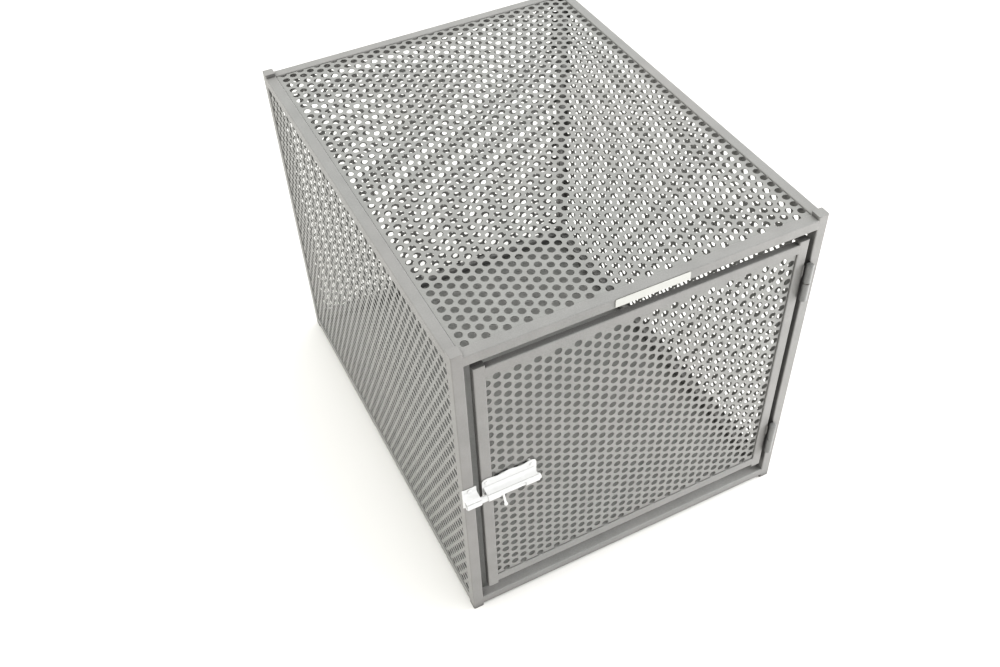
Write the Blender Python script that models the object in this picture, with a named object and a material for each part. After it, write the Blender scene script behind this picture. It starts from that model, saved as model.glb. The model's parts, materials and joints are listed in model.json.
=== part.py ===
"""Kennel cage for a veterinary clinic: square steel tube, perforated sheet and one hinged door.

Metres, +Z up. X runs along the front, from the latch side to the hinge side, and Y from the door to the
back. The origin lies on the floor, under the middle of the cage measured with its bolt. Inside this
script a point is given from the cage's front left foot, and the empties carry it into that frame.
"""

import math

import bmesh
import bpy
from mathutils import Vector

# Overall size, over the four posts
WIDTH = 0.500
DEPTH = 0.650
HEIGHT = 0.510

# Frame: square tube between posts that stand proud above and below the rails
TUBE = 0.015
WALL = 0.0012
TUBE_ROUND = 0.0015
LUG = 0.005
FOOT = 0.005
CAP = 0.0015
GAP = 0.0003

# Sheet, set just inside the outer faces of the frame
SHEET = 0.0012
SHEET_INSET = 0.0015

# Door: flat tube, its stiles run past its rails
DOOR_LEFT = 0.025
DOOR_RIGHT = 0.4775
DOOR_LOW = 0.040
DOOR_HIGH = 0.480
DOOR_TUBE = 0.010
DOOR_STEP = 0.0045
DOOR_SHEET_INSET = 0.002

# Lift-off barrel hinges on the front, over the gap between door and post
HINGE_X = 0.482
HINGE_OUT = 0.0053
HINGE_MIDDLES = {"upper": 0.4115, "lower": 0.1035}
BARREL_RADIUS = 0.005
BARREL_LENGTH = 0.060
BORE_RADIUS = 0.0031
PIN_RADIUS = 0.003
BARREL_EDGE = 0.0012
BARREL_ROOF = 0.003
WASHER = 0.001
WELD_LENGTH = 0.020

# Barrel bolt on the door, with its keeper on the left post
BOLT_X = 0.025
BOLT_LENGTH = 0.075
BOLT_Z = 0.260
BOLT_OUT = 0.0115
PLATE_HEIGHT = 0.0446
PLATE = 0.0012
SCALLOP = 0.0025
ROD_RADIUS = 0.004
ROD_START = 0.005
ROD_LENGTH = 0.092
ROD_EDGE = 0.0012
CASING_X = 0.027
CASING_LENGTH = 0.073
CASING_BORE = 0.0043
CASING_WALL = 0.001
CASING_WING = 0.0088
WINDOW_START = 0.0435
WINDOW_END = 0.0785
WINDOW_FLOOR = 0.0045
WINDOW_ABOVE = 0.0039
KNOB_X = 0.0475
KNOB_REACH = 0.02025
KNOB_TIP = 0.00275
KNOB_ROOT = 0.00225
KNOB_TILT = math.radians(27)
KEEPER_X = 0.0079
KEEPER_WIDTH = 0.0191
KEEPER_HEIGHT = 0.034
KEEPER_LOOP = 0.0145
KEEPER_REACH = 0.017
KEEPER_WALL = 0.0011
RIVET_SHANK = 0.0016
RIVET_HEAD = 0.003
RIVET_DOME = 0.001
STILE_GRIP = 0.004
SHEET_GRIP = 0.008
POST_GRIP = 0.0035

# Blank label plate on the front top rail
LABEL_WIDTH = 0.100
LABEL_HEIGHT = 0.0116
LABEL = 0.0008
LABEL_X = 0.253
LABEL_Z = 0.4978

# Heights and places that follow from the sizes above
RAIL_TOP = HEIGHT - LUG - TUBE / 2
RAIL_LOW = FOOT + TUBE / 2
BAY_LOW = FOOT + TUBE
BAY_HIGH = HEIGHT - LUG - TUBE
SHEET_FACE = DOOR_SHEET_INSET
FRONT_REACH = BOLT_OUT + (KNOB_REACH - KNOB_TIP) * math.sin(KNOB_TILT) + KNOB_TIP
CORNER = Vector((-WIDTH / 2, -(DEPTH - FRONT_REACH) / 2, 0))

ALONG_X = (0, math.pi / 2, 0)
ALONG_Y = (-math.pi / 2, 0, 0)
UPRIGHT = (0, 0, 0)
FACING_FRONT = (math.pi / 2, 0, 0)


def clear_scene():
    for item in list(bpy.data.objects):
        bpy.data.objects.remove(item, do_unlink=True)


def material(name, colour, roughness, metallic=0.0):
    made = bpy.data.materials.new(name)
    made.use_nodes = True
    shader = made.node_tree.nodes["Principled BSDF"]
    shader.inputs["Base Color"].default_value = (*colour, 1.0)
    shader.inputs["Roughness"].default_value = roughness
    shader.inputs["Metallic"].default_value = metallic
    return made


def make_materials():
    return {
        "frame": material("frame_paint", (0.43, 0.42, 0.40), 0.45),
        "sheet": material("sheet_paint", (0.45, 0.45, 0.43), 0.5),
        "hinge": material("hinge_paint", (0.38, 0.40, 0.39), 0.4),
        "bolt": material("bolt_white", (0.86, 0.86, 0.85), 0.3),
        "steel": material("bare_steel", (0.56, 0.56, 0.57), 0.3, 1.0),
        "label": material("label_white", (0.85, 0.85, 0.83), 0.6),
    }


# Placing: every object hangs on an empty, and is placed by a point given from the front left foot

def attach(item, point, parent, turn=UPRIGHT):
    item.parent = parent
    item.location = Vector(point) - Vector(parent["point"])
    item.rotation_euler = turn


def add_empty(name, point, parent=None):
    holder = bpy.data.objects.new(name, None)
    bpy.context.collection.objects.link(holder)
    holder["point"] = tuple(point)
    if parent:
        attach(holder, point, parent)
    else:
        holder.location = CORNER + Vector(point)
    return holder


def add_piece(name, mesh, point, parent, paint, turn=UPRIGHT, smooth=False):
    """Turn a finished bmesh into a named object hung on parent."""
    bmesh.ops.recalc_face_normals(mesh, faces=mesh.faces[:])
    data = bpy.data.meshes.new(name)
    mesh.to_mesh(data)
    mesh.free()
    if smooth:
        data.shade_smooth()
        data.set_sharp_from_angle(angle=math.radians(35))
    item = bpy.data.objects.new(name, data)
    bpy.context.collection.objects.link(item)
    if paint:
        data.materials.append(paint)
    attach(item, point, parent, turn)
    return item


def add_helper(name, mesh, point, parent, turn=UPRIGHT):
    """A shape that only cuts or joins another, and isn't a piece itself."""
    item = add_piece(name, mesh, point, parent, None, turn)
    item.hide_render = True
    item.display_type = "WIRE"
    return item


def combine(item, helper, operation):
    change = item.modifiers.new(helper.name, "BOOLEAN")
    change.operation = operation
    change.solver = "EXACT"
    change.object = helper


# Shapes, each built along its own +Z from its origin

def rounded_rectangle(width, depth, radius, steps=3):
    points = []
    for quarter, (side_x, side_y) in enumerate(((1, 1), (-1, 1), (-1, -1), (1, -1))):
        middle_x = side_x * (width / 2 - radius)
        middle_y = side_y * (depth / 2 - radius)
        for step in range(steps + 1):
            angle = math.pi / 2 * (quarter + step / steps)
            points.append((middle_x + radius * math.cos(angle), middle_y + radius * math.sin(angle)))
    return points


def arc(middle_x, middle_y, radius, start, end, steps):
    """Points on an arc, angles in degrees."""
    points = []
    for step in range(steps + 1):
        angle = math.radians(start + (end - start) * step / steps)
        points.append((middle_x + radius * math.cos(angle), middle_y + radius * math.sin(angle)))
    return points


def draw_loop(mesh, outline):
    corners = [mesh.verts.new((x, y, 0)) for x, y in outline]
    edges = [mesh.edges.new((corners[i - 1], corner)) for i, corner in enumerate(corners)]
    return corners, edges


def extruded(outline, length, hole=None):
    mesh = bmesh.new()
    corners, edges = draw_loop(mesh, outline)
    if hole:
        _, inner_edges = draw_loop(mesh, hole)
        bmesh.ops.bridge_loops(mesh, edges=edges + inner_edges)
    else:
        mesh.faces.new(corners)
    raised = bmesh.ops.extrude_face_region(mesh, geom=mesh.faces[:])
    moved = [part for part in raised["geom"] if isinstance(part, bmesh.types.BMVert)]
    bmesh.ops.translate(mesh, vec=(0, 0, length), verts=moved)
    return mesh


def tube(width, depth, length):
    outer = rounded_rectangle(width, depth, TUBE_ROUND)
    inner = rounded_rectangle(width - 2 * WALL, depth - 2 * WALL, TUBE_ROUND - WALL)
    return extruded(outer, length, inner)


def plate(width, depth, thickness):
    half_x = width / 2
    half_y = depth / 2
    return extruded([(-half_x, -half_y), (half_x, -half_y), (half_x, half_y), (-half_x, half_y)], thickness)


def turned(profile, steps=24, closed=False):
    """A turned shape from (radius, height) points; closed joins the last point to the first."""
    mesh = bmesh.new()
    rings = []
    for radius, height in profile:
        if radius == 0:
            rings.append([mesh.verts.new((0, 0, height))])
            continue
        angles = [2 * math.pi * step / steps for step in range(steps)]
        rings.append([mesh.verts.new((radius * math.cos(a), radius * math.sin(a), height)) for a in angles])
    pairs = list(zip(rings, rings[1:]))
    if closed:
        pairs.append((rings[-1], rings[0]))
    for low, high in pairs:
        for step in range(steps):
            following = (step + 1) % steps
            corners = [low[step % len(low)], low[following % len(low)]]
            corners += [high[following % len(high)], high[step % len(high)]]
            mesh.faces.new(list(dict.fromkeys(corners)))
    return mesh


def cylinder(radius, length, steps=24):
    return turned([(0, 0), (radius, 0), (radius, length), (0, length)], steps)


# The welded frame

def build_posts(cage, paints):
    for side, x in (("left", TUBE / 2), ("right", WIDTH - TUBE / 2)):
        for end, y in (("front", TUBE / 2), ("back", DEPTH - TUBE / 2)):
            name = f"post_{end}_{side}"
            length = HEIGHT - 2 * (CAP + GAP)
            post = add_piece(name, tube(TUBE, TUBE, length), (x, y, CAP + GAP), cage, paints["frame"])
            for place, z in (("top", HEIGHT - CAP), ("foot", 0)):
                cover = extruded(rounded_rectangle(TUBE, TUBE, TUBE_ROUND), CAP)
                add_piece(f"{place}_cap_{end}_{side}", cover, (x, y, z), cage, paints["frame"])
            if name == "post_front_left":
                drill_for_keeper(post, cage)


def build_rails(cage, paints):
    across = WIDTH - 2 * (TUBE + GAP)
    along = DEPTH - 2 * (TUBE + GAP)
    start = TUBE + GAP
    for level, z in (("top", RAIL_TOP), ("bottom", RAIL_LOW)):
        for end, y in (("front", TUBE / 2), ("back", DEPTH - TUBE / 2)):
            rail = tube(TUBE, TUBE, across)
            add_piece(f"rail_{level}_{end}", rail, (start, y, z), cage, paints["frame"], ALONG_X)
        for side, x in (("left", TUBE / 2), ("right", WIDTH - TUBE / 2)):
            rail = tube(TUBE, TUBE, along)
            add_piece(f"rail_{level}_{side}", rail, (x, start, z), cage, paints["frame"], ALONG_Y)


def build_sheets(cage, paints):
    """Five sheets, each set into its bay of the frame, near the outer face of its tubes.

    The floor is a solid sheet. The perforation of the others is left to the finished surface.
    """
    across = WIDTH - 2 * (TUBE + GAP)
    along = DEPTH - 2 * (TUBE + GAP)
    tall = BAY_HIGH - BAY_LOW - 2 * GAP
    middle = (WIDTH / 2, DEPTH / 2)
    lift = (BAY_LOW + BAY_HIGH) / 2
    top_z = HEIGHT - LUG - SHEET_INSET - SHEET
    floor_z = FOOT + SHEET_INSET
    back_y = DEPTH - SHEET_INSET
    paint = paints["sheet"]
    add_piece("sheet_top", plate(across, along, SHEET), (*middle, top_z), cage, paint)
    add_piece("sheet_floor", plate(across, along, SHEET), (*middle, floor_z), cage, paint)
    add_piece("sheet_back", plate(across, tall, SHEET), (WIDTH / 2, back_y, lift), cage, paint, FACING_FRONT)
    for side, x in (("left", SHEET_INSET), ("right", WIDTH - SHEET_INSET - SHEET)):
        sheet = plate(tall, along, SHEET)
        add_piece(f"sheet_{side}", sheet, (x, DEPTH / 2, lift), cage, paint, ALONG_X)


def build_label(cage, paints):
    label = extruded(rounded_rectangle(LABEL_WIDTH, LABEL_HEIGHT, TUBE_ROUND), LABEL)
    place = (LABEL_X, -GAP, LABEL_Z)
    add_piece("label_plate", label, place, cage, paints["label"], FACING_FRONT)


# The door, its sheet and its hinges

def build_door(door, paints):
    depth_middle = DOOR_TUBE / 2
    body = DOOR_HIGH - DOOR_LOW - 2 * (CAP + GAP)
    for side, x in (("left", DOOR_LEFT + TUBE / 2), ("right", DOOR_RIGHT - TUBE / 2)):
        stile = tube(TUBE, DOOR_TUBE, body)
        place = (x, depth_middle, DOOR_LOW + CAP + GAP)
        stile = add_piece(f"door_stile_{side}", stile, place, door, paints["frame"])
        if side == "left":
            drill_for_rivets(stile, door, plate_rivets()[:2], "stile")
        for level, z in (("top", DOOR_HIGH - CAP), ("bottom", DOOR_LOW)):
            cover = extruded(rounded_rectangle(TUBE, DOOR_TUBE, TUBE_ROUND), CAP)
            add_piece(f"door_cap_{level}_{side}", cover, (x, depth_middle, z), door, paints["frame"])

    start = DOOR_LEFT + TUBE + GAP
    across = DOOR_RIGHT - TUBE - GAP - start
    low = DOOR_LOW + DOOR_STEP + TUBE / 2
    high = DOOR_HIGH - DOOR_STEP - TUBE / 2
    for level, z in (("top", high), ("bottom", low)):
        rail = tube(TUBE, DOOR_TUBE, across)
        add_piece(f"door_rail_{level}", rail, (start, depth_middle, z), door, paints["frame"], ALONG_X)

    tall = high - low - TUBE - 2 * GAP
    middle = (start + across / 2, SHEET_FACE + SHEET, (low + high) / 2)
    sheet = add_piece("door_sheet", plate(across, tall, SHEET), middle, door, paints["sheet"], FACING_FRONT)
    drill_for_rivets(sheet, door, plate_rivets()[2:], "sheet")


def weld_outline(points):
    return [(x - HINGE_X, y + HINGE_OUT) for x, y in points]


def build_hinge(name, middle, cage, door, paints):
    """Upper knuckle on the door, lower knuckle, pin and washer on the post, all on one upright axis."""
    half = BARREL_LENGTH / 2
    knuckle = half - WASHER / 2 - GAP
    axis = (HINGE_X, -HINGE_OUT)

    cap_shape = [(0, knuckle), (BARREL_RADIUS - BARREL_EDGE, knuckle), (BARREL_RADIUS, knuckle - BARREL_EDGE)]
    cap_shape += [(BARREL_RADIUS, 0), (BORE_RADIUS, 0)]
    cap_shape += [(BORE_RADIUS, knuckle - BARREL_ROOF), (0, knuckle - BARREL_ROOF)]
    upper_z = middle + WASHER / 2 + GAP
    upper = add_piece(f"hinge_{name}_door_knuckle", turned(cap_shape), (*axis, upper_z), door,
                      paints["hinge"], smooth=True)
    door_weld = weld_outline([(0.4715, -GAP), (0.4775, -GAP), (0.4785, -0.0040), (0.4781, -0.0072)])
    weld_z = upper_z + (knuckle - WELD_LENGTH) / 2
    weld = add_helper(f"{name}_door_weld", extruded(door_weld, WELD_LENGTH), (*axis, weld_z), door)
    combine(upper, weld, "UNION")

    sleeve = [(BORE_RADIUS, 0), (BARREL_RADIUS - BARREL_EDGE, 0), (BARREL_RADIUS, BARREL_EDGE)]
    sleeve += [(BARREL_RADIUS, knuckle), (BORE_RADIUS, knuckle)]
    lower_z = middle - half
    lower = add_piece(f"hinge_{name}_post_knuckle", turned(sleeve, closed=True), (*axis, lower_z), cage,
                      paints["hinge"], smooth=True)
    post_weld = weld_outline([(0.4860, -GAP), (0.4925, -GAP), (0.4859, -0.0072), (0.4856, -0.0040)])
    weld_z = lower_z + (knuckle - WELD_LENGTH) / 2
    weld = add_helper(f"{name}_post_weld", extruded(post_weld, WELD_LENGTH), (*axis, weld_z), cage)
    combine(lower, weld, "UNION")

    ring = [(BORE_RADIUS, 0), (BARREL_RADIUS - GAP, 0), (BARREL_RADIUS - GAP, WASHER), (BORE_RADIUS, WASHER)]
    add_piece(f"hinge_{name}_washer", turned(ring, closed=True), (*axis, middle - WASHER / 2), cage,
              paints["steel"], smooth=True)
    pin_length = BARREL_LENGTH - 2 * BARREL_ROOF
    add_piece(f"hinge_{name}_pin", cylinder(PIN_RADIUS, pin_length), (*axis, lower_z + BARREL_ROOF / 2), cage,
              paints["steel"], smooth=True)


# The barrel bolt, and the keeper that its rod slides into

def scalloped_outline():
    """A rounded plate whose long edges dip twice, between lobes at both ends and the middle."""
    radius = 0.006
    half_x = BOLT_LENGTH / 2
    half_y = PLATE_HEIGHT / 2
    run = 2 * (half_x - radius)
    steps = 16
    dips = []
    for step in range(1, steps):
        share = step / steps
        dips.append((half_x - radius - run * share, half_y - SCALLOP * math.sin(2 * math.pi * share) ** 2))
    right = arc(half_x - radius, half_y - radius, radius, 0, 90, 4)
    left = arc(-half_x + radius, half_y - radius, radius, 90, 180, 4)
    upper = right + dips + left
    lower = [(-x, -y) for x, y in upper]
    return upper + lower


def plate_rivets():
    """Rivet places on the bolt's plate: two over the door's stile, then two over its sheet."""
    inset = 0.0065
    places = []
    for x in (BOLT_X + inset, BOLT_X + BOLT_LENGTH - inset):
        for side in (-1, 1):
            places.append((x, BOLT_Z + side * (PLATE_HEIGHT / 2 - inset)))
    return places


def keeper_rivets():
    inset = 0.0045
    return [(KEEPER_X, BOLT_Z + side * (KEEPER_HEIGHT / 2 - inset)) for side in (-1, 1)]


def drill(item, name, x, z, parent, depth=DOOR_TUBE / 2):
    """A clearance hole for a rivet's shank, cut from in front of the cage to a depth behind its front."""
    hole = cylinder(RIVET_SHANK + GAP, 2 * depth, 12)
    cutter = add_helper(name, hole, (x, depth, z), parent, FACING_FRONT)
    combine(item, cutter, "DIFFERENCE")


def drill_for_rivets(item, parent, places, label):
    for number, (x, z) in enumerate(places):
        drill(item, f"{label}_rivet_hole_{number}", x, z, parent)


def drill_for_keeper(post, cage):
    for number, (x, z) in enumerate(keeper_rivets()):
        drill(post, f"post_rivet_hole_{number}", x, z, cage)


def add_rivet(name, x, z, face, grip, parent, paints):
    """A domed rivet whose head rests on a face at y = face and whose shank runs back by grip."""
    shape = [(0, -grip), (RIVET_SHANK, -grip), (RIVET_SHANK, 0), (RIVET_HEAD, 0)]
    shape += [(RIVET_HEAD * 0.8, RIVET_DOME * 0.75), (RIVET_HEAD * 0.4, RIVET_DOME), (0, RIVET_DOME)]
    add_piece(name, turned(shape, 12), (x, face - GAP, z), parent, paints["bolt"], FACING_FRONT, smooth=True)


def arch_profile(foot, width, wall, rise, wing):
    """A strap's section: wings on the mounting face, legs up from them and a round crown.

    width is inside the legs, rise is where the crown begins and wing is how far each wing reaches.
    The first axis runs up the plate and the second outwards from it.
    """
    inner = width / 2
    outer = inner + wall
    crown = arc(0, rise, outer, 0, 180, 8)
    lining = arc(0, rise, inner, 180, 0, 8)
    left = [(-outer, foot + wall), (-wing, foot + wall), (-wing, foot), (-inner, foot)]
    right = [(inner, foot), (wing, foot), (wing, foot + wall), (outer, foot + wall)]
    return crown + left + lining + right


def build_bolt_plate(door, paints):
    place = (BOLT_X + BOLT_LENGTH / 2, -GAP, BOLT_Z)
    base = add_piece("bolt_plate", extruded(scalloped_outline(), PLATE), place, door, paints["bolt"],
                     FACING_FRONT)
    drill_for_rivets(base, door, plate_rivets(), "plate")
    for number, (x, z) in enumerate(plate_rivets()):
        grip = STILE_GRIP if number < 2 else SHEET_GRIP
        add_rivet(f"bolt_rivet_{number + 1}", x, z, -GAP - PLATE, grip, door, paints)


def build_casing(door, paints):
    """The casing round the rod. Its window leaves room for the knob to slide and to turn forward."""
    foot = PLATE + 2 * GAP
    section = arch_profile(foot, 2 * CASING_BORE, CASING_WALL, BOLT_OUT, CASING_WING)
    casing = add_strap("bolt_casing", section, CASING_LENGTH, (CASING_X, 0, BOLT_Z), door, paints)
    reach = BOLT_OUT + CASING_BORE + CASING_WALL + FOOT
    below = CASING_WING + FOOT
    opening = plate(WINDOW_END - WINDOW_START, reach - WINDOW_FLOOR, WINDOW_ABOVE + below)
    place = ((WINDOW_START + WINDOW_END) / 2, -(WINDOW_FLOOR + reach) / 2, BOLT_Z - below)
    combine(casing, add_helper("casing_window", opening, place, door), "DIFFERENCE")


def build_rod(slider, paints):
    shape = [(0, 0), (ROD_RADIUS - ROD_EDGE, 0), (ROD_RADIUS, ROD_EDGE), (ROD_RADIUS, ROD_LENGTH - ROD_EDGE)]
    shape += [(ROD_RADIUS - ROD_EDGE, ROD_LENGTH), (0, ROD_LENGTH)]
    add_piece("bolt_rod", turned(shape), (ROD_START, -BOLT_OUT, BOLT_Z), slider, paints["bolt"], ALONG_X,
              smooth=True)


def build_knob(knob, paints):
    """A stem that ends in a ball. It points down and leans forward, clear of the plate."""
    stem = [(0, ROD_RADIUS + GAP), (KNOB_ROOT, ROD_RADIUS + GAP)]
    ball = arc(0, KNOB_REACH - KNOB_TIP, KNOB_TIP, -20, 75, 6)
    shape = turned(stem + ball + [(0, KNOB_REACH)], 16)
    lean = (math.pi - KNOB_TILT, 0, 0)
    add_piece("bolt_knob", shape, (KNOB_X, -BOLT_OUT, BOLT_Z), knob, paints["bolt"], lean, smooth=True)


def add_strap(name, section, length, point, parent, paints):
    """Extrude a section drawn as (up, outwards) so that it runs along +X from its point."""
    mesh = extruded([(-outwards, up) for up, outwards in section], length)
    for corner in mesh.verts:
        outwards, up, along = corner.co
        corner.co = (along, outwards, up)
    return add_piece(name, mesh, point, parent, paints["bolt"])


def build_keeper(cage, paints):
    rise = KEEPER_REACH - KEEPER_LOOP / 2
    section = arch_profile(GAP, KEEPER_LOOP - 2 * KEEPER_WALL, KEEPER_WALL, rise, KEEPER_HEIGHT / 2)
    start = KEEPER_X - KEEPER_WIDTH / 2
    keeper = add_strap("keeper", section, KEEPER_WIDTH, (start, 0, BOLT_Z), cage, paints)
    for number, (x, z) in enumerate(keeper_rivets()):
        drill(keeper, f"keeper_rivet_hole_{number}", x, z, cage)
        add_rivet(f"keeper_rivet_{number + 1}", x, z, -GAP - KEEPER_WALL, POST_GRIP, cage, paints)


def build():
    clear_scene()
    paints = make_materials()
    cage = add_empty("cage", (0, 0, 0))
    door = add_empty("door_swing", (HINGE_X, -HINGE_OUT, 0), cage)
    slider = add_empty("bolt_slide", (ROD_START, -BOLT_OUT, BOLT_Z), door)
    knob = add_empty("bolt_turn", (KNOB_X, -BOLT_OUT, BOLT_Z), slider)
    build_posts(cage, paints)
    build_rails(cage, paints)
    build_sheets(cage, paints)
    build_label(cage, paints)
    build_door(door, paints)
    for name, middle in HINGE_MIDDLES.items():
        build_hinge(name, middle, cage, door, paints)
    build_bolt_plate(door, paints)
    build_casing(door, paints)
    build_rod(slider, paints)
    build_knob(knob, paints)
    build_keeper(cage, paints)
    bpy.context.view_layer.update()


build()
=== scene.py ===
"""The finished look of the kennel cage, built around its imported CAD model.

Metres, +Z up. X runs along the front, from the latch side to the hinge side, and Y from the door to the
back. Every place is worked out from the boxes of the CAD nodes.
"""

import json
import math

import bmesh
import bpy
from mathutils import Matrix, Vector, noise


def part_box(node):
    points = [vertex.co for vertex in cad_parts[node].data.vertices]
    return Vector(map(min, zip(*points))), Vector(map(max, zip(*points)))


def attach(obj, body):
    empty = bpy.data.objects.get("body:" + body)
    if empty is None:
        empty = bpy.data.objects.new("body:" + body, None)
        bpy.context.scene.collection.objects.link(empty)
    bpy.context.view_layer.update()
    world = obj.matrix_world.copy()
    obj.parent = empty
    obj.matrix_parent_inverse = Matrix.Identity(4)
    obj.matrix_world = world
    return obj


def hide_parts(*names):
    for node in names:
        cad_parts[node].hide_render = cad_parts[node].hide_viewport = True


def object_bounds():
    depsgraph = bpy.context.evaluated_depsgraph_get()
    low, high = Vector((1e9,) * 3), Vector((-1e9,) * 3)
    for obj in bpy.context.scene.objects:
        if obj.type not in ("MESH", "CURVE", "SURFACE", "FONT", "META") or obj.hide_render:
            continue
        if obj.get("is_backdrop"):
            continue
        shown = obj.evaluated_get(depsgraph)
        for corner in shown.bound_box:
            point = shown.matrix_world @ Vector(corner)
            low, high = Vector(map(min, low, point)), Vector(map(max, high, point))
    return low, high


X, Y, Z = 0, 1, 2

# Perforation: round holes on a staggered lattice
PITCH = 0.015
ROW = PITCH * math.sqrt(3) / 2
HOLE_RADIUS = 0.00505
HOLE_STEPS = 3
SLIVER = 0.0036
SHEET = 0.0007

# Where one hole's centre lies on each sheet, from the cage's front left foot: along the closest
# neighbours, then across them
DOOR_HOLE = (0.402, 0.093)
TOP_HOLE = (0.102, 0.0905)
SIDE_HOLE = (0.097, 0.392)
BACK_HOLE = (0.402, 0.093)

# Edges and welds
SOFT_EDGE = 0.00025
SHARP_ANGLE = math.radians(35)
ROUNDED_ANGLE = math.radians(40)
MERGE = 0.000002
BEAD_RADIUS = 0.0011
DOOR_BEAD = 0.8
BEAD_STEP = 0.0007
BEAD_SIDES = 10
RIPPLE = 0.0022
RIPPLE_HEIGHT = 0.13
WOBBLE = 0.18
WOBBLE_DENSITY = 260
WELD_INSET = 0.002
SEAM = 0.0003
TUBE_ROUND = 0.0015

# Hinges
BARREL_ROUND = 0.0014
BARREL_CHAMFER = 0.0004
BARREL_DOME = 0.0005
DOME_SHOULDER = (0.55, 0.3)
WELD_SIDE = 0.0
WELD_OUT = -0.0006
WELD_POST_SIDE = 0.0036
WELD_MARGIN = 0.0045
HINGE_WELD = 0.0015
HINGE_RIPPLE = 0.0052

# The bolt. Angles on its crowns run from 90 degrees at the top to 0 at the front
HOOD_FILLET = 0.006
CASING_CREASE = 80
CASING_SHORTER = 0.003
CASING_EDGE = 0.00015
KEEPER_LOOP = 0.0145
KEEPER_FILLET = 0.003
KEEPER_CREASE = 42
BORE_SLIT = 176
CREASE_DEPTH = 0.0009
KEEPER_CREASE_DEPTH = 0.00135
CREASE_HALF = 7
WING = 0.0003
ROD_LOBE = 0.0018
ROD_BEYOND = 0.0035

# The knob: a stem with a wider foot in the rod and a ball on its end. The foot's places are shares of the
# rod's radius
STEM = 0.0015
FOOT = 0.00225
FOOT_BOTTOM = 0.7
FOOT_TOP = 1.5
BALL = 0.0024

# The camera, measured from the cage's front left foot
EYE = Vector((-0.2715, -0.7197, 1.3225))
AZIMUTH = math.radians(24.70)
ELEVATION = math.radians(45.37)
ROLL = math.radians(-2.73)
LENS = 38.14
SENSOR = 36.0

# Light. Each side of the sky has a direction, a sharpness, a strength and a colour, and the front of it
# is the darkest
BACKDROP = 1.3
SKY_SIDES = (
    ((0, 0, 1), 4, 2.55, (0.985, 1.0, 0.965)),
    ((1, 0, 0), 2, 3.0, (0.985, 0.99, 1.0)),
    ((-1, 0, 0), 2, 2.0, (1.0, 0.995, 0.95)),
    ((0, 1, 0), 2, 1.85, (0.99, 1.0, 0.97)),
    ((0, -1, 0), 2, 0.78, (0.985, 0.985, 1.0)),
)
LAMP_PLACE = Vector((1.2, -0.7, 0.5))
LAMP_SIZE = 0.6
LAMP_POWER = 16.0
GROUND_COLOUR = (0.83, 0.817, 0.80)
TONE = ((0.05, 0.03), (0.15, 0.12), (0.45, 0.45), (0.72, 0.745))

# How open a place must be, as a share of all directions, to get the darkest painted shade and to be clear
# of painted shade
CREVICE = (0.25, 0.8)


# Materials

def new_material(name):
    made = bpy.data.materials.new(name)
    made.use_nodes = True
    tree = made.node_tree
    return made, tree, tree.nodes["Principled BSDF"]


def add_node(tree, kind, **values):
    node = tree.nodes.new(kind)
    for key, value in values.items():
        setattr(node, key, value)
    return node


def noise_at(tree, coordinates, scale, detail=2.0):
    node = add_node(tree, "ShaderNodeTexNoise")
    node.inputs["Scale"].default_value = scale
    node.inputs["Detail"].default_value = detail
    tree.links.new(coordinates, node.inputs["Vector"])
    return node.outputs["Fac"]


def remap(tree, value, low, high, new_low, new_high):
    node = add_node(tree, "ShaderNodeMapRange")
    tree.links.new(value, node.inputs["Value"])
    for key, number in (("From Min", low), ("From Max", high), ("To Min", new_low), ("To Max", new_high)):
        node.inputs[key].default_value = number
    return node.outputs["Result"]


def mix_colour(tree, factor, first, second, blend="MIX"):
    node = add_node(tree, "ShaderNodeMix", data_type="RGBA", blend_type=blend)
    for socket, value in ((node.inputs[0], factor), (node.inputs[6], first), (node.inputs[7], second)):
        if isinstance(value, (tuple, float, int)):
            socket.default_value = (*value, 1.0) if isinstance(value, tuple) else value
        else:
            tree.links.new(value, socket)
    return node.outputs[2]


def multiply(tree, first, second):
    node = add_node(tree, "ShaderNodeMath", operation="MULTIPLY")
    tree.links.new(first, node.inputs[0])
    tree.links.new(second, node.inputs[1])
    return node.outputs[0]


def painted_crevice_shade(tree, reach, darkest):
    """A painted shade factor that falls to darkest inside corners and gaps, where shade would fall."""
    node = add_node(tree, "ShaderNodeAmbientOcclusion", samples=8)
    node.inputs["Distance"].default_value = reach
    return remap(tree, node.outputs["AO"], *CREVICE, darkest, 1.0)


def bump(tree, height, strength, distance, shader, rounding=0.0):
    node = add_node(tree, "ShaderNodeBump")
    node.inputs["Strength"].default_value = strength
    node.inputs["Distance"].default_value = distance
    tree.links.new(height, node.inputs["Height"])
    if rounding:
        edge = add_node(tree, "ShaderNodeBevel", samples=4)
        edge.inputs["Radius"].default_value = rounding
        tree.links.new(edge.outputs["Normal"], node.inputs["Normal"])
    tree.links.new(node.outputs["Normal"], shader.inputs["Normal"])


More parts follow.
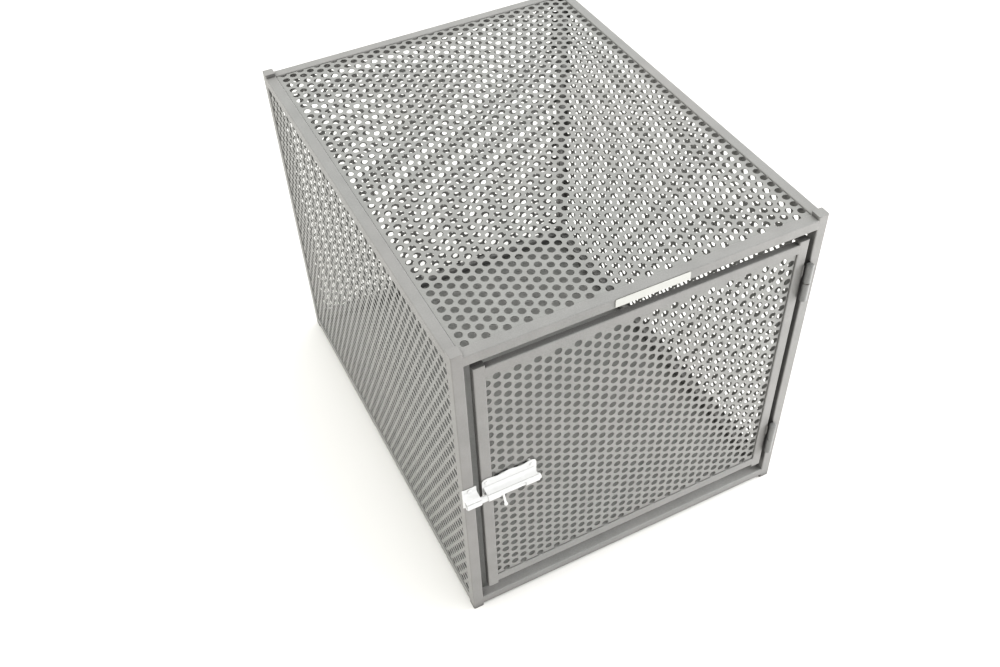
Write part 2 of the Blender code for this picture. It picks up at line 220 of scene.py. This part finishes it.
def hammertone(name, light, dark, warm, roughness=(0.36, 0.52)):
    """Grey enamel with a fine mottle, slow drifts of tone, and painted shade that darkens its corners and
    gaps.
    """
    made, tree, shader = new_material(name)
    place = add_node(tree, "ShaderNodeTexCoord").outputs["Object"]
    mottle = noise_at(tree, place, 620, 3.0)
    cloud = noise_at(tree, place, 34, 4.0)
    drift = noise_at(tree, place, 5, 2.0)
    colour = mix_colour(tree, remap(tree, mottle, 0.35, 0.65, 0.0, 1.0), dark, light)
    colour = mix_colour(tree, remap(tree, drift, 0.4, 0.62, 0.0, 0.55), colour, warm)
    shade = remap(tree, cloud, 0.3, 0.7, 0.94, 1.04)
    # Painted shade: the colour is darkened to as little as 0.12 of itself in corners and gaps within 25
    # mm.
    shade = multiply(tree, shade, painted_crevice_shade(tree, 0.025, 0.12))
    tone = add_node(tree, "ShaderNodeCombineColor")
    for channel in ("Red", "Green", "Blue"):
        tree.links.new(shade, tone.inputs[channel])
    colour = mix_colour(tree, 1.0, colour, tone.outputs["Color"], "MULTIPLY")
    tree.links.new(colour, shader.inputs["Base Color"])
    tree.links.new(remap(tree, mottle, 0.3, 0.7, *roughness), shader.inputs["Roughness"])
    shader.inputs["Specular IOR Level"].default_value = 0.4
    bump(tree, mottle, 0.35, 0.00012, shader, rounding=0.0004)
    return made


def gloss_white():
    """Thick white paint on the bolt, a little uneven, with painted grey shade in its creases and corners.
    """
    made, tree, shader = new_material("bolt_white_gloss")
    place = add_node(tree, "ShaderNodeTexCoord").outputs["Object"]
    orange_peel = noise_at(tree, place, 300, 2.0)
    stain = noise_at(tree, place, 60, 4.0)
    share = remap(tree, stain, 0.5, 0.75, 0.0, 0.5)
    colour = mix_colour(tree, share, (0.67, 0.67, 0.67), (0.58, 0.58, 0.58))
    # Painted shade: dark grey (0.30) is mixed into the bolt's creases and corners, where shade would fall.
    colour = mix_colour(tree, painted_crevice_shade(tree, 0.003, 0.0), (0.30, 0.30, 0.29), colour)
    tree.links.new(colour, shader.inputs["Base Color"])
    tree.links.new(remap(tree, stain, 0.3, 0.7, 0.22, 0.4), shader.inputs["Roughness"])
    shader.inputs["Coat Weight"].default_value = 0.3
    bump(tree, orange_peel, 0.3, 0.0001, shader)
    return made


def plain_label():
    """Matt white sticker paper with a little grey smudging."""
    made, tree, shader = new_material("label_matt_white")
    place = add_node(tree, "ShaderNodeTexCoord").outputs["Object"]
    fibre = noise_at(tree, place, 900, 4.0)
    smudge = noise_at(tree, place, 45, 3.0)
    share = remap(tree, smudge, 0.45, 0.75, 0.0, 0.5)
    colour = mix_colour(tree, share, (0.50, 0.50, 0.475), (0.42, 0.42, 0.39))
    tree.links.new(colour, shader.inputs["Base Color"])
    tree.links.new(remap(tree, fibre, 0.3, 0.7, 0.55, 0.75), shader.inputs["Roughness"])
    bump(tree, fibre, 0.2, 0.00005, shader)
    return made


def oiled_steel():
    """Bare steel with dark grime, for pins and washers."""
    made, tree, shader = new_material("oiled_steel")
    place = add_node(tree, "ShaderNodeTexCoord").outputs["Object"]
    grime = noise_at(tree, place, 240, 4.0)
    share = remap(tree, grime, 0.4, 0.65, 0.0, 1.0)
    colour = mix_colour(tree, share, (0.30, 0.30, 0.30), (0.10, 0.09, 0.08))
    tree.links.new(colour, shader.inputs["Base Color"])
    tree.links.new(remap(tree, grime, 0.3, 0.7, 0.3, 0.6), shader.inputs["Roughness"])
    shader.inputs["Metallic"].default_value = 0.9
    bump(tree, grime, 0.25, 0.0001, shader)
    return made


def make_materials():
    return {
        "frame": hammertone("frame_hammertone", (0.232, 0.230, 0.226), (0.199, 0.197, 0.194),
                            (0.234, 0.225, 0.221)),
        "sheet": hammertone("sheet_hammertone", (0.238, 0.238, 0.232), (0.202, 0.202, 0.197),
                            (0.234, 0.228, 0.222)),
        "hinge": hammertone("hinge_enamel", (0.205, 0.206, 0.204), (0.165, 0.167, 0.166),
                            (0.19, 0.188, 0.185), (0.28, 0.42)),
        "bolt": gloss_white(),
        "label": plain_label(),
        "steel": oiled_steel(),
    }


# Meshes

def new_object(name, mesh, material, smooth=True):
    data = bpy.data.meshes.new(name)
    mesh.to_mesh(data)
    mesh.free()
    if smooth:
        data.shade_smooth()
        data.set_sharp_from_angle(angle=SHARP_ANGLE)
    data.materials.append(material)
    item = bpy.data.objects.new(name, data)
    bpy.context.scene.collection.objects.link(item)
    return item


def lattice(low, high, hole, pitch_u, pitch_v):
    """Hole centres over a rectangle, every second row moved along by half a pitch."""
    first = math.floor((low[1] - hole[1]) / pitch_v) - 1
    last = math.ceil((high[1] - hole[1]) / pitch_v) + 1
    centres = []
    for row in range(first, last + 1):
        start = hole[0] + (row % 2) * pitch_u / 2
        begin = math.floor((low[0] - start) / pitch_u) - 1
        end = math.ceil((high[0] - start) / pitch_u) + 1
        for step in range(begin, end + 1):
            centres.append((start + step * pitch_u, hole[1] + row * pitch_v))
    return centres


def hole_shows(centre, low, high):
    """True unless only a sliver of the hole would lie inside the sheet's edges."""
    least = SLIVER - HOLE_RADIUS
    return all(low[axis] + least < centre[axis] < high[axis] - least for axis in (0, 1))


def hexagon_cell(centre, holed):
    """Outlines that fill one cell of the lattice: six pieces round a hole, or a plain hexagon."""
    corner_reach = PITCH / math.sqrt(3)
    sector = math.radians(60)
    if not holed:
        rings = [[(corner_reach, (side - 0.5) * sector) for side in range(6)]]
    else:
        rings = []
        for side in range(6):
            start = (side - 0.5) * sector
            ring = [(corner_reach, start), (corner_reach, start + sector)]
            for step in range(HOLE_STEPS + 1):
                ring.append((HOLE_RADIUS, start + sector * (1 - step / HOLE_STEPS)))
            rings.append(ring)
    outlines = []
    for ring in rings:
        outlines.append([(centre[0] + reach * math.cos(angle), centre[1] + reach * math.sin(angle))
                         for reach, angle in ring])
    return outlines


def perforated_sheet(name, node, hole, axes, outer, body, materials):
    """A thin sheet at the outer face of a CAD sheet, with real holes.

    hole is one hole's centre. axes are those along the closest neighbours, across them, and through the
    sheet, and outer is 1 or -1 for the side of the last one that faces outwards.
    """
    low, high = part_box(node)
    along, across, through = axes
    low_2d = (low[along], low[across])
    high_2d = (high[along], high[across])
    corner = cage_corner()
    origin = (corner[along] + hole[0], corner[across] + hole[1])
    face = high[through] if outer > 0 else low[through]
    mesh = bmesh.new()
    for centre in lattice(low_2d, high_2d, origin, PITCH, ROW):
        for ring in hexagon_cell(centre, hole_shows(centre, low_2d, high_2d)):
            corners = []
            for u, v in ring:
                point = Vector()
                point[along] = u
                point[across] = v
                point[through] = face
                corners.append(mesh.verts.new(point))
            mesh.faces.new(corners)
    bmesh.ops.remove_doubles(mesh, verts=mesh.verts[:], dist=0.00002)
    for axis in (along, across):
        for place, outward in ((low, -1), (high, 1)):
            normal = Vector()
            normal[axis] = outward
            bmesh.ops.bisect_plane(mesh, geom=mesh.verts[:] + mesh.edges[:] + mesh.faces[:], dist=1e-6,
                                   plane_co=place, plane_no=normal, clear_outer=True)
    raised = bmesh.ops.extrude_face_region(mesh, geom=mesh.faces[:])
    moved = [part for part in raised["geom"] if isinstance(part, bmesh.types.BMVert)]
    shift = Vector()
    shift[through] = -outer * SHEET
    bmesh.ops.translate(mesh, vec=shift, verts=moved)
    return finish_piece(name, mesh, "sheet", body, materials, node)


def cage_corner():
    """The lowest outer corner of the front left post."""
    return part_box("foot_cap_front_left")[0]


def softened(node, body, slot, materials):
    """A copy of a CAD node with rounded edges, standing for that node."""
    source = FRAME["nodes"][node]
    mesh = bmesh.new()
    mesh.from_mesh(source.data)
    bmesh.ops.remove_doubles(mesh, verts=mesh.verts[:], dist=0.000005)
    bmesh.ops.dissolve_limit(mesh, angle_limit=math.radians(1), verts=mesh.verts[:], edges=mesh.edges[:])
    item = new_object(f"{node}_finished", mesh, materials[slot])
    round_edges(item, SOFT_EDGE)
    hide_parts(node)
    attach(item, body)
    return item


def add_bead(mesh, start, end, radius, seed, spacing):
    """A weld bead between two points: a round run of overlapping ripples with tapered ends."""
    direction = end - start
    length = direction.length
    direction.normalize()
    side = direction.orthogonal().normalized()
    other = direction.cross(side)
    rings = []
    steps = max(8, round(length / BEAD_STEP))
    for step in range(steps + 1):
        share = step / steps
        taper = math.sqrt(max(0.0, 1 - (2 * share - 1) ** 8))
        ripple = 1 + RIPPLE_HEIGHT * math.cos(2 * math.pi * share * length / spacing)
        wobble = 1 + WOBBLE * noise.noise(Vector((seed * 7.3, share * length * WOBBLE_DENSITY, 0)))
        size = max(0.05, taper) * ripple * wobble * radius
        centre = start + direction * length * share
        ring = []
        for number in range(BEAD_SIDES):
            angle = 2 * math.pi * number / BEAD_SIDES
            ring.append(mesh.verts.new(centre + (side * math.cos(angle) + other * math.sin(angle)) * size))
        rings.append(ring)
    for first, second in zip(rings, rings[1:]):
        for number in range(BEAD_SIDES):
            following = (number + 1) % BEAD_SIDES
            mesh.faces.new((first[number], first[following], second[following], second[number]))
    mesh.faces.new(rings[0][::-1])
    mesh.faces.new(rings[-1])


def bead_object(name, runs, radius, slot, body, materials, spacing):
    """One piece that holds a bead along each run."""
    mesh = bmesh.new()
    for seed, (start, end) in enumerate(runs):
        add_bead(mesh, Vector(start), Vector(end), radius, seed, spacing)
    bmesh.ops.recalc_face_normals(mesh, faces=mesh.faces[:])
    item = new_object(name, mesh, materials[slot])
    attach(item, body)
    return item


def weld_runs(rails, inset):
    """Short welds on the inner side of each corner, where a rail meets an upright."""
    runs = []
    for node, _, across, inner in rails:
        low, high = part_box(node)
        for end in (low, high):
            start = Vector(end)
            stop = Vector(end)
            start[Z] = stop[Z] = high[Z] if inner > 0 else low[Z]
            start[across] = low[across] + inset
            stop[across] = high[across] - inset
            runs.append((start, stop))
    return runs


def frame_rails():
    """Each rail of the cage with the axis it runs along, the axis across it and its inner side."""
    rails = []
    for level, inner in (("top", -1), ("bottom", 1)):
        rails += [(f"rail_{level}_{end}", X, Y, inner) for end in ("front", "back")]
        rails += [(f"rail_{level}_{side}", Y, X, inner) for side in ("left", "right")]
    return rails


def door_rails():
    return [("door_rail_top", X, Y, -1), ("door_rail_bottom", X, Y, 1)]


def add_block(mesh, low, high, rounding):
    """A block between two corners, with its upright or long edges rounded as the tubes' are."""
    made = bmesh.ops.create_cube(mesh, size=1.0)["verts"]
    size = Vector(high) - Vector(low)
    middle = (Vector(high) + Vector(low)) / 2
    for vert in made:
        vert.co = middle + Vector((vert.co.x * size.x, vert.co.y * size.y, vert.co.z * size.z))
    thin = min((X, Y, Z), key=lambda side: size[side])
    edges = [edge for edge in {edge for vert in made for edge in vert.link_edges}
             if abs((edge.verts[0].co - edge.verts[1].co)[thin]) > 1e-6]
    bmesh.ops.bevel(mesh, geom=edges, offset=rounding, segments=3, profile=0.5, affect="EDGES")


def joint_fills(name, rails, covers, body, materials):
    """Ground and painted weld metal that closes the seams at rail ends and under the end caps.

    At a rail's end it also fills the groove that the upright's rounded edge leaves.
    """
    mesh = bmesh.new()
    for node, along, _, _ in rails:
        low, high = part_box(node)
        for face, outward in ((low, -1), (high, 1)):
            first = Vector(low)
            last = Vector(high)
            first[along] = face[along] - (SEAM + TUBE_ROUND if outward < 0 else 0)
            last[along] = face[along] + (SEAM + TUBE_ROUND if outward > 0 else 0)
            add_block(mesh, first, last, TUBE_ROUND)
    for node, outward in covers:
        low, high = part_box(node)
        first = Vector(low)
        last = Vector(high)
        first.z = low.z - SEAM if outward > 0 else high.z
        last.z = low.z if outward > 0 else high.z + SEAM
        add_block(mesh, first, last, TUBE_ROUND)
    item = new_object(name, mesh, materials["frame"])
    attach(item, body)
    return item


def frame_covers():
    covers = []
    for end in ("front", "back"):
        for side in ("left", "right"):
            covers += [(f"top_cap_{end}_{side}", 1), (f"foot_cap_{end}_{side}", -1)]
    return covers


def door_covers():
    covers = []
    for side in ("left", "right"):
        covers += [(f"door_cap_top_{side}", 1), (f"door_cap_bottom_{side}", -1)]
    return covers


def lathe(mesh, profile, centre, axis=Z, steps=40):
    """Turn a closed profile of (radius, place along the axis) about an axis through a centre."""
    first, second = ((axis + 1) % 3, (axis + 2) % 3)
    rings = []
    for radius, along in profile:
        ring = []
        for number in range(steps):
            angle = 2 * math.pi * number / steps
            place = Vector(centre)
            place[axis] = along
            place[first] += radius * math.cos(angle)
            place[second] += radius * math.sin(angle)
            ring.append(mesh.verts.new(place))
        rings.append(ring)
    widths = [radius for radius, along in profile]
    bands = zip(rings, rings[1:] + rings[:1], widths, widths[1:] + widths[:1])
    for lower, upper, width, next_width in bands:
        if width == next_width == 0:
            continue
        for number in range(steps):
            following = (number + 1) % steps
            mesh.faces.new((lower[number], lower[following], upper[following], upper[number]))
    bmesh.ops.remove_doubles(mesh, verts=mesh.verts[:], dist=MERGE)


def rounded_end(radius, level, rounding, towards):
    """The quarter round at a barrel's end, from its side onto its face."""
    points = []
    steps = 5
    for step in range(steps + 1):
        angle = math.pi / 2 * step / steps
        inwards = rounding * (1 - math.cos(angle))
        short = rounding * (1 - math.sin(angle))
        points.append((radius - inwards, level - towards * short))
    return points


def build_hinges(materials):
    """Smooth barrels for the knuckles, with lumpy welds that join them to the door and to the post."""
    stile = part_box("door_stile_right")
    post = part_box("post_front_right")
    door_runs = []
    post_runs = []
    for name in ("upper", "lower"):
        low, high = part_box(f"hinge_{name}_washer")
        axis = (low + high) / 2
        radius = (high.x - low.x) / 2 + SEAM
        bore = (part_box(f"hinge_{name}_pin")[1].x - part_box(f"hinge_{name}_pin")[0].x) / 2 + SEAM / 3
        pin_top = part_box(f"hinge_{name}_pin")[1].z + SEAM
        bottom, top = (corner.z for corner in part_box(f"hinge_{name}_door_knuckle"))
        mesh = bmesh.new()
        profile = [(bore, bottom), (radius - BARREL_CHAMFER, bottom), (radius, bottom + BARREL_CHAMFER)]
        profile += rounded_end(radius, top - BARREL_DOME, BARREL_ROUND, 1)
        shoulder, drop = DOME_SHOULDER
        profile += [((radius - BARREL_ROUND) * shoulder, top - BARREL_DOME * drop), (0, top)]
        profile += [(0, pin_top), (bore, pin_top)]
        lathe(mesh, profile, axis)
        finish_piece(f"hinge_{name}_door_barrel", mesh, "hinge", "door", materials,
                     f"hinge_{name}_door_knuckle")
        door_runs.append(((stile[1].x - WELD_SIDE, stile[0].y - WELD_OUT, bottom + WELD_MARGIN),
                          (stile[1].x - WELD_SIDE, stile[0].y - WELD_OUT, top - WELD_MARGIN)))

        bottom, top = (corner.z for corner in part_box(f"hinge_{name}_post_knuckle"))
        mesh = bmesh.new()
        profile = [(bore, bottom)] + rounded_end(radius, bottom, BARREL_CHAMFER, -1)[::-1]
        profile += [(radius, top - BARREL_CHAMFER), (radius - BARREL_CHAMFER, top), (bore, top)]
        lathe(mesh, profile, axis)
        finish_piece(f"hinge_{name}_post_barrel", mesh, "hinge", "cage", materials,
                     f"hinge_{name}_post_knuckle")
        post_runs.append(((post[0].x + WELD_POST_SIDE, post[0].y - WELD_OUT, bottom + WELD_MARGIN),
                          (post[0].x + WELD_POST_SIDE, post[0].y - WELD_OUT, top - WELD_MARGIN)))
    bead_object("hinge_door_welds", door_runs, HINGE_WELD, "frame", "door", materials, HINGE_RIPPLE)
    bead_object("hinge_post_welds", post_runs, HINGE_WELD, "frame", "cage", materials, HINGE_RIPPLE)


def crown(middle, radius, start, end, steps):
    """Points (up, out) round a crown whose centre is at a distance out from the mounting face."""
    points = []
    for step in range(steps + 1):
        angle = math.radians(start + (end - start) * step / steps)
        points.append((radius * math.sin(angle), middle + radius * math.cos(angle)))
    return points


def casing_outline(middle, outer, bore, wing):
    """The section (up, out) of the casing: hollow flanks that rise from thin wings to a creased crown.

    It is open below the bore.
    """
    upper = [(wing, -SEAM)]
    steps = 12
    width = wing - outer
    for step in range(steps + 1):
        angle = math.pi / 2 * step / steps
        upper.append((outer + width * (1 - math.sin(angle)), WING + HOOD_FILLET * (1 - math.cos(angle))))
    groove = math.radians(CASING_CREASE)
    bottom = outer - CREASE_DEPTH
    upper += crown(middle, outer, 90, CASING_CREASE + CREASE_HALF, 5)
    upper.append((bottom * math.sin(groove), middle + bottom * math.cos(groove)))
    upper += crown(middle, outer, CASING_CREASE - CREASE_HALF, 0, 14)
    lower = [(-up, out) for up, out in upper[-2::-1]]
    lining = [(-bore, -SEAM)] + crown(middle, bore, -90, 90, 32) + [(bore, -SEAM)]
    return upper + lower + lining


def keeper_outline(bore_out, crown_out, outer, bore, wing):
    """The section (up, out) of the keeper: flat wings, a thick loop with a crease, and a round bore."""
    flank = outer + KEEPER_FILLET
    plate = WING + SEAM * 2
    upper = [(wing, -SEAM), (wing, plate), (flank, plate)]
    steps = 8
    for step in range(1, steps + 1):
        angle = math.pi / 2 * step / steps
        rise = KEEPER_FILLET * (1 - math.cos(angle))
        upper.append((flank - KEEPER_FILLET * math.sin(angle), plate + rise))
    groove = math.radians(KEEPER_CREASE)
    bottom = outer - KEEPER_CREASE_DEPTH
    upper += crown(crown_out, outer, 90, KEEPER_CREASE + CREASE_HALF, 8)
    upper.append((bottom * math.sin(groove), crown_out + bottom * math.cos(groove)))
    upper += crown(crown_out, outer, KEEPER_CREASE - CREASE_HALF, 0, 10)
    lower = [(-up, out) for up, out in upper[-2::-1]]
    lining = [(-SEAM, -SEAM)] + crown(bore_out, bore, -BORE_SLIT, BORE_SLIT, 40) + [(SEAM, -SEAM)]
    return upper + lower + lining


def extruded_strap(outline, height, face, start, end):
    """A strap that runs along X on a mounting face at y = face, centred at a height."""
    mesh = bmesh.new()
    rings = [[mesh.verts.new((x, face - out, height + up)) for up, out in outline] for x in (start, end)]
    count = len(outline)
    for number in range(count):
        following = (number + 1) % count
        mesh.faces.new((rings[0][number], rings[0][following], rings[1][following], rings[1][number]))
    mesh.faces.new(rings[0])
    mesh.faces.new(rings[1][::-1])
    bmesh.ops.remove_doubles(mesh, verts=mesh.verts[:], dist=MERGE)
    bmesh.ops.recalc_face_normals(mesh, faces=mesh.faces[:])
    return mesh


def casing_window():
    """The opening in the casing that the knob moves in, from the corners that the CAD casing has there."""
    low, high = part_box("bolt_casing")
    source = FRAME["nodes"]["bolt_casing"].data.vertices
    inside = [vert.co for vert in source if low.x + SEAM < vert.co.x < high.x - SEAM]
    start = Vector((min(point.x for point in inside), low.y - HOOD_FILLET, low.z - HOOD_FILLET))
    end = Vector([max(point[axis] for point in inside) for axis in (X, Y, Z)])
    return start, end


def cut_block(item, low, high):
    """Cut the block between two corners out of an object."""
    mesh = bmesh.new()
    size = high - low
    for vert in bmesh.ops.create_cube(mesh, size=1.0)["verts"]:
        vert.co = (low + high) / 2 + vert.co * size
    data = bpy.data.meshes.new("cutter")
    mesh.to_mesh(data)
    mesh.free()
    cutter = bpy.data.objects.new("cutter", data)
    bpy.context.scene.collection.objects.link(cutter)
    cut = item.modifiers.new("window", "BOOLEAN")
    cut.operation = "DIFFERENCE"
    cut.solver = "EXACT"
    cut.object = cutter
    evaluated = item.evaluated_get(bpy.context.evaluated_depsgraph_get())
    item.data = bpy.data.meshes.new_from_object(evaluated)
    item.modifiers.clear()
    bpy.data.objects.remove(cutter)


def round_edges(item, width):
    """Round the creases of an object."""
    rounding = item.modifiers.new("rounding", "BEVEL")
    rounding.width = width
    rounding.segments = 2
    rounding.limit_method = "ANGLE"
    rounding.angle_limit = ROUNDED_ANGLE


def build_bolt(materials):
    rod_low, rod_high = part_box("bolt_rod")
    rod_axis = (rod_low + rod_high) / 2
    rod_radius = (rod_high.z - rod_low.z) / 2

    low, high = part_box("bolt_casing")
    outer = rod_axis.y - low.y
    bore = rod_radius + SEAM
    wing = (high.z - low.z) / 2
    outline = casing_outline(high.y - rod_axis.y, outer, bore, wing)
    mesh = extruded_strap(outline, rod_axis.z, high.y, low.x, high.x - CASING_SHORTER)
    casing = finish_piece("bolt_casing_pressed", mesh, "bolt", "door", materials, "bolt_casing")
    cut_block(casing, *casing_window())
    round_edges(casing, CASING_EDGE)

    low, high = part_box("keeper")
    outer = KEEPER_LOOP / 2
    middle = high.y - rod_axis.y
    crown_out = high.y - low.y - outer
    wing = (high.z - low.z) / 2
    outline = keeper_outline(middle, crown_out, outer, bore + SEAM, wing)
    mesh = extruded_strap(outline, (low.z + high.z) / 2, high.y, low.x, high.x)
    keeper = finish_piece("keeper_pressed", mesh, "bolt", "cage", materials, "keeper")
    round_edges(keeper, SOFT_EDGE)

    mesh = bmesh.new()
    end = rod_high.x + ROD_BEYOND
    profile = [(0, rod_low.x)] + rounded_end(rod_radius, rod_low.x, ROD_LOBE, -1)[::-1]
    profile += rounded_end(rod_radius, end, ROD_LOBE, 1) + [(0, end)]
    lathe(mesh, profile, rod_axis, X)
    finish_piece("bolt_rod_smooth", mesh, "bolt", "bolt_rod", materials, "bolt_rod")

    low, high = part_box("bolt_knob")
    root = Vector(((low.x + high.x) / 2, rod_axis.y, rod_axis.z))
    tip = Vector((root.x, low.y + BALL, low.z + BALL))
    reach = (tip - root).length
    mesh = bmesh.new()
    profile = [(0, rod_radius * FOOT_BOTTOM), (FOOT, rod_radius * FOOT_BOTTOM)]
    profile += [(FOOT, rod_radius), (STEM, rod_radius * FOOT_TOP)]
    neck = math.asin(STEM / BALL)
    steps = 12
    for step in range(steps + 1):
        angle = (math.pi - neck) * (1 - step / steps)
        profile.append((BALL * math.sin(angle), reach + BALL * math.cos(angle)))
    lathe(mesh, profile, Vector())
    turn = Vector((0, 0, 1)).rotation_difference(tip - root).to_matrix().to_4x4()
    mesh.transform(Matrix.Translation(root) @ turn)
    # Turning a mesh leaves its faces' directions out of date, and finish_piece goes by them
    mesh.normal_update()
    finish_piece("bolt_knob_turned", mesh, "bolt", "bolt_knob", materials, "bolt_knob")


def finish_piece(name, mesh, slot, body, materials, *nodes):
    """Make a mesh the finished look of CAD nodes, on a body."""
    bmesh.ops.recalc_face_normals(mesh, faces=mesh.faces[:])
    item = new_object(name, mesh, materials[slot])
    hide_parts(*nodes)
    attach(item, body)
    return item


def paint_cad_nodes(materials):
    """Give each CAD node the material that its slot in the record names."""
    slots = {entry["node"]: entry["material_slot"] for entry in FRAME["record"]["subparts"]}
    for name, item in FRAME["nodes"].items():
        if not item.material_slots:
            item.data.materials.append(materials[slots[name]])
        for entry in item.material_slots:
            entry.material = materials[slots[name]]


# Stage, light and camera

def build_stage():
    made, _, shader = new_material("white_ground")
    shader.inputs["Base Color"].default_value = (*GROUND_COLOUR, 1.0)
    shader.inputs["Roughness"].default_value = 0.9
    shader.inputs["Specular IOR Level"].default_value = 0.1
    mesh = bmesh.new()
    reach = 14
    sides = ((-1, -1), (1, -1), (1, 1), (-1, 1))
    mesh.faces.new([mesh.verts.new((reach * x, reach * y, -SEAM)) for x, y in sides])
    ground = new_object("ground", mesh, made, smooth=False)
    ground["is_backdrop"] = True


def sky_side(tree, direction, towards, sharpness, strength, colour):
    """Light from one side of the sky, strongest straight towards it and gone at right angles to it."""
    facing = add_node(tree, "ShaderNodeVectorMath", operation="DOT_PRODUCT")
    facing.inputs[1].default_value = towards
    tree.links.new(direction, facing.inputs[0])
    share = remap(tree, facing.outputs["Value"], 0.0, 1.0, 0.0, 1.0)
    falloff = add_node(tree, "ShaderNodeMath", operation="POWER")
    tree.links.new(share, falloff.inputs[0])
    falloff.inputs[1].default_value = sharpness
    side = add_node(tree, "ShaderNodeBackground")
    side.inputs["Color"].default_value = (*colour, 1.0)
    level = remap(tree, falloff.outputs["Value"], 0.0, 1.0, 0.0, strength)
    tree.links.new(level, side.inputs["Strength"])
    return side.outputs["Background"]


def build_light():
    """A soft sky that is strongest on the right, plain white to the camera, and one large lamp."""
    world = bpy.data.worlds.new("studio")
    bpy.context.scene.world = world
    world.use_nodes = True
    tree = world.node_tree
    seen = tree.nodes["Background"]
    seen.inputs["Color"].default_value = (1.0, 1.0, 1.0, 1.0)
    seen.inputs["Strength"].default_value = BACKDROP
    direction = add_node(tree, "ShaderNodeTexCoord").outputs["Generated"]
    sky = None
    for towards, sharpness, strength, colour in SKY_SIDES:
        side = sky_side(tree, direction, towards, sharpness, strength, colour)
        if sky:
            total = add_node(tree, "ShaderNodeAddShader")
            tree.links.new(sky, total.inputs[0])
            tree.links.new(side, total.inputs[1])
            side = total.outputs[0]
        sky = side
    choice = add_node(tree, "ShaderNodeMixShader")
    tree.links.new(add_node(tree, "ShaderNodeLightPath").outputs["Is Camera Ray"], choice.inputs["Fac"])
    tree.links.new(sky, choice.inputs[1])
    tree.links.new(seen.outputs["Background"], choice.inputs[2])
    tree.links.new(choice.outputs["Shader"], tree.nodes["World Output"].inputs["Surface"])

    data = bpy.data.lights.new("window", "AREA")
    data.size = LAMP_SIZE
    data.energy = LAMP_POWER
    lamp = bpy.data.objects.new("window", data)
    bpy.context.scene.collection.objects.link(lamp)
    lamp.location = LAMP_PLACE
    middle = Vector((0, 0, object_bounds()[1][2] / 2))
    lamp.rotation_euler = (middle - LAMP_PLACE).to_track_quat("-Z", "Y").to_euler()


def set_tone():
    """Plain colours, with the slightly deeper shadows of a product photograph."""
    settings = bpy.context.scene.view_settings
    settings.view_transform = "Standard"
    settings.use_curve_mapping = True
    for place in TONE:
        settings.curve_mapping.curves[3].points.new(*place)
    settings.curve_mapping.update()


def build_camera():
    data = bpy.data.cameras.new("camera")
    data.lens = LENS
    data.sensor_width = SENSOR
    data.clip_end = 60
    level = math.cos(ELEVATION)
    forward = Vector((math.sin(AZIMUTH) * level, math.cos(AZIMUTH) * level, -math.sin(ELEVATION)))
    flat_right = forward.cross(Vector((0, 0, 1))).normalized()
    flat_up = flat_right.cross(forward)
    right = flat_right * math.cos(ROLL) + flat_up * math.sin(ROLL)
    up = flat_up * math.cos(ROLL) - flat_right * math.sin(ROLL)
    eye = cage_corner() + EYE
    holder = bpy.data.objects.new("camera", data)
    holder.matrix_world = Matrix((
        (right.x, up.x, -forward.x, eye.x),
        (right.y, up.y, -forward.y, eye.y),
        (right.z, up.z, -forward.z, eye.z),
        (0, 0, 0, 1),
    ))
    bpy.context.scene.collection.objects.link(holder)
    bpy.context.scene.camera = holder


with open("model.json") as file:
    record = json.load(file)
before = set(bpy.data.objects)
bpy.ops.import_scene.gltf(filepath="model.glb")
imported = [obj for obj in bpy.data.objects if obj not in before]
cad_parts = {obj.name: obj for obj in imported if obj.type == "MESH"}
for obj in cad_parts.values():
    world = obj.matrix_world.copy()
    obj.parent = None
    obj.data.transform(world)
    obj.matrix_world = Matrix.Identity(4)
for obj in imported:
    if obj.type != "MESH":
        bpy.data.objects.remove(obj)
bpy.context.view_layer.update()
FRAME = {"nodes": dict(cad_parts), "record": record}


def build():
    set_tone()
    materials = make_materials()
    paint_cad_nodes(materials)
    perforated_sheet("top_sheet_perforated", "sheet_top", TOP_HOLE, (Y, X, Z), 1, "cage", materials)
    perforated_sheet("left_sheet_perforated", "sheet_left", SIDE_HOLE, (Y, Z, X), -1, "cage", materials)
    perforated_sheet("right_sheet_perforated", "sheet_right", SIDE_HOLE, (Y, Z, X), 1, "cage", materials)
    perforated_sheet("back_sheet_perforated", "sheet_back", BACK_HOLE, (Z, X, Y), 1, "cage", materials)
    perforated_sheet("door_sheet_perforated", "door_sheet", DOOR_HOLE, (Z, X, Y), -1, "door", materials)
    softened("bolt_plate", "door", "bolt", materials)
    softened("label_plate", "cage", "label", materials)
    build_bolt(materials)
    frame_runs = weld_runs(frame_rails(), WELD_INSET)
    door_runs = weld_runs(door_rails(), WELD_INSET)
    bead_object("frame_welds", frame_runs, BEAD_RADIUS, "frame", "cage", materials, RIPPLE)
    bead_object("door_welds", door_runs, BEAD_RADIUS * DOOR_BEAD, "frame", "door", materials, RIPPLE)
    joint_fills("frame_joint_fills", frame_rails(), frame_covers(), "cage", materials)
    joint_fills("door_joint_fills", door_rails(), door_covers(), "door", materials)
    build_hinges(materials)
    build_stage()
    build_light()
    build_camera()


build()
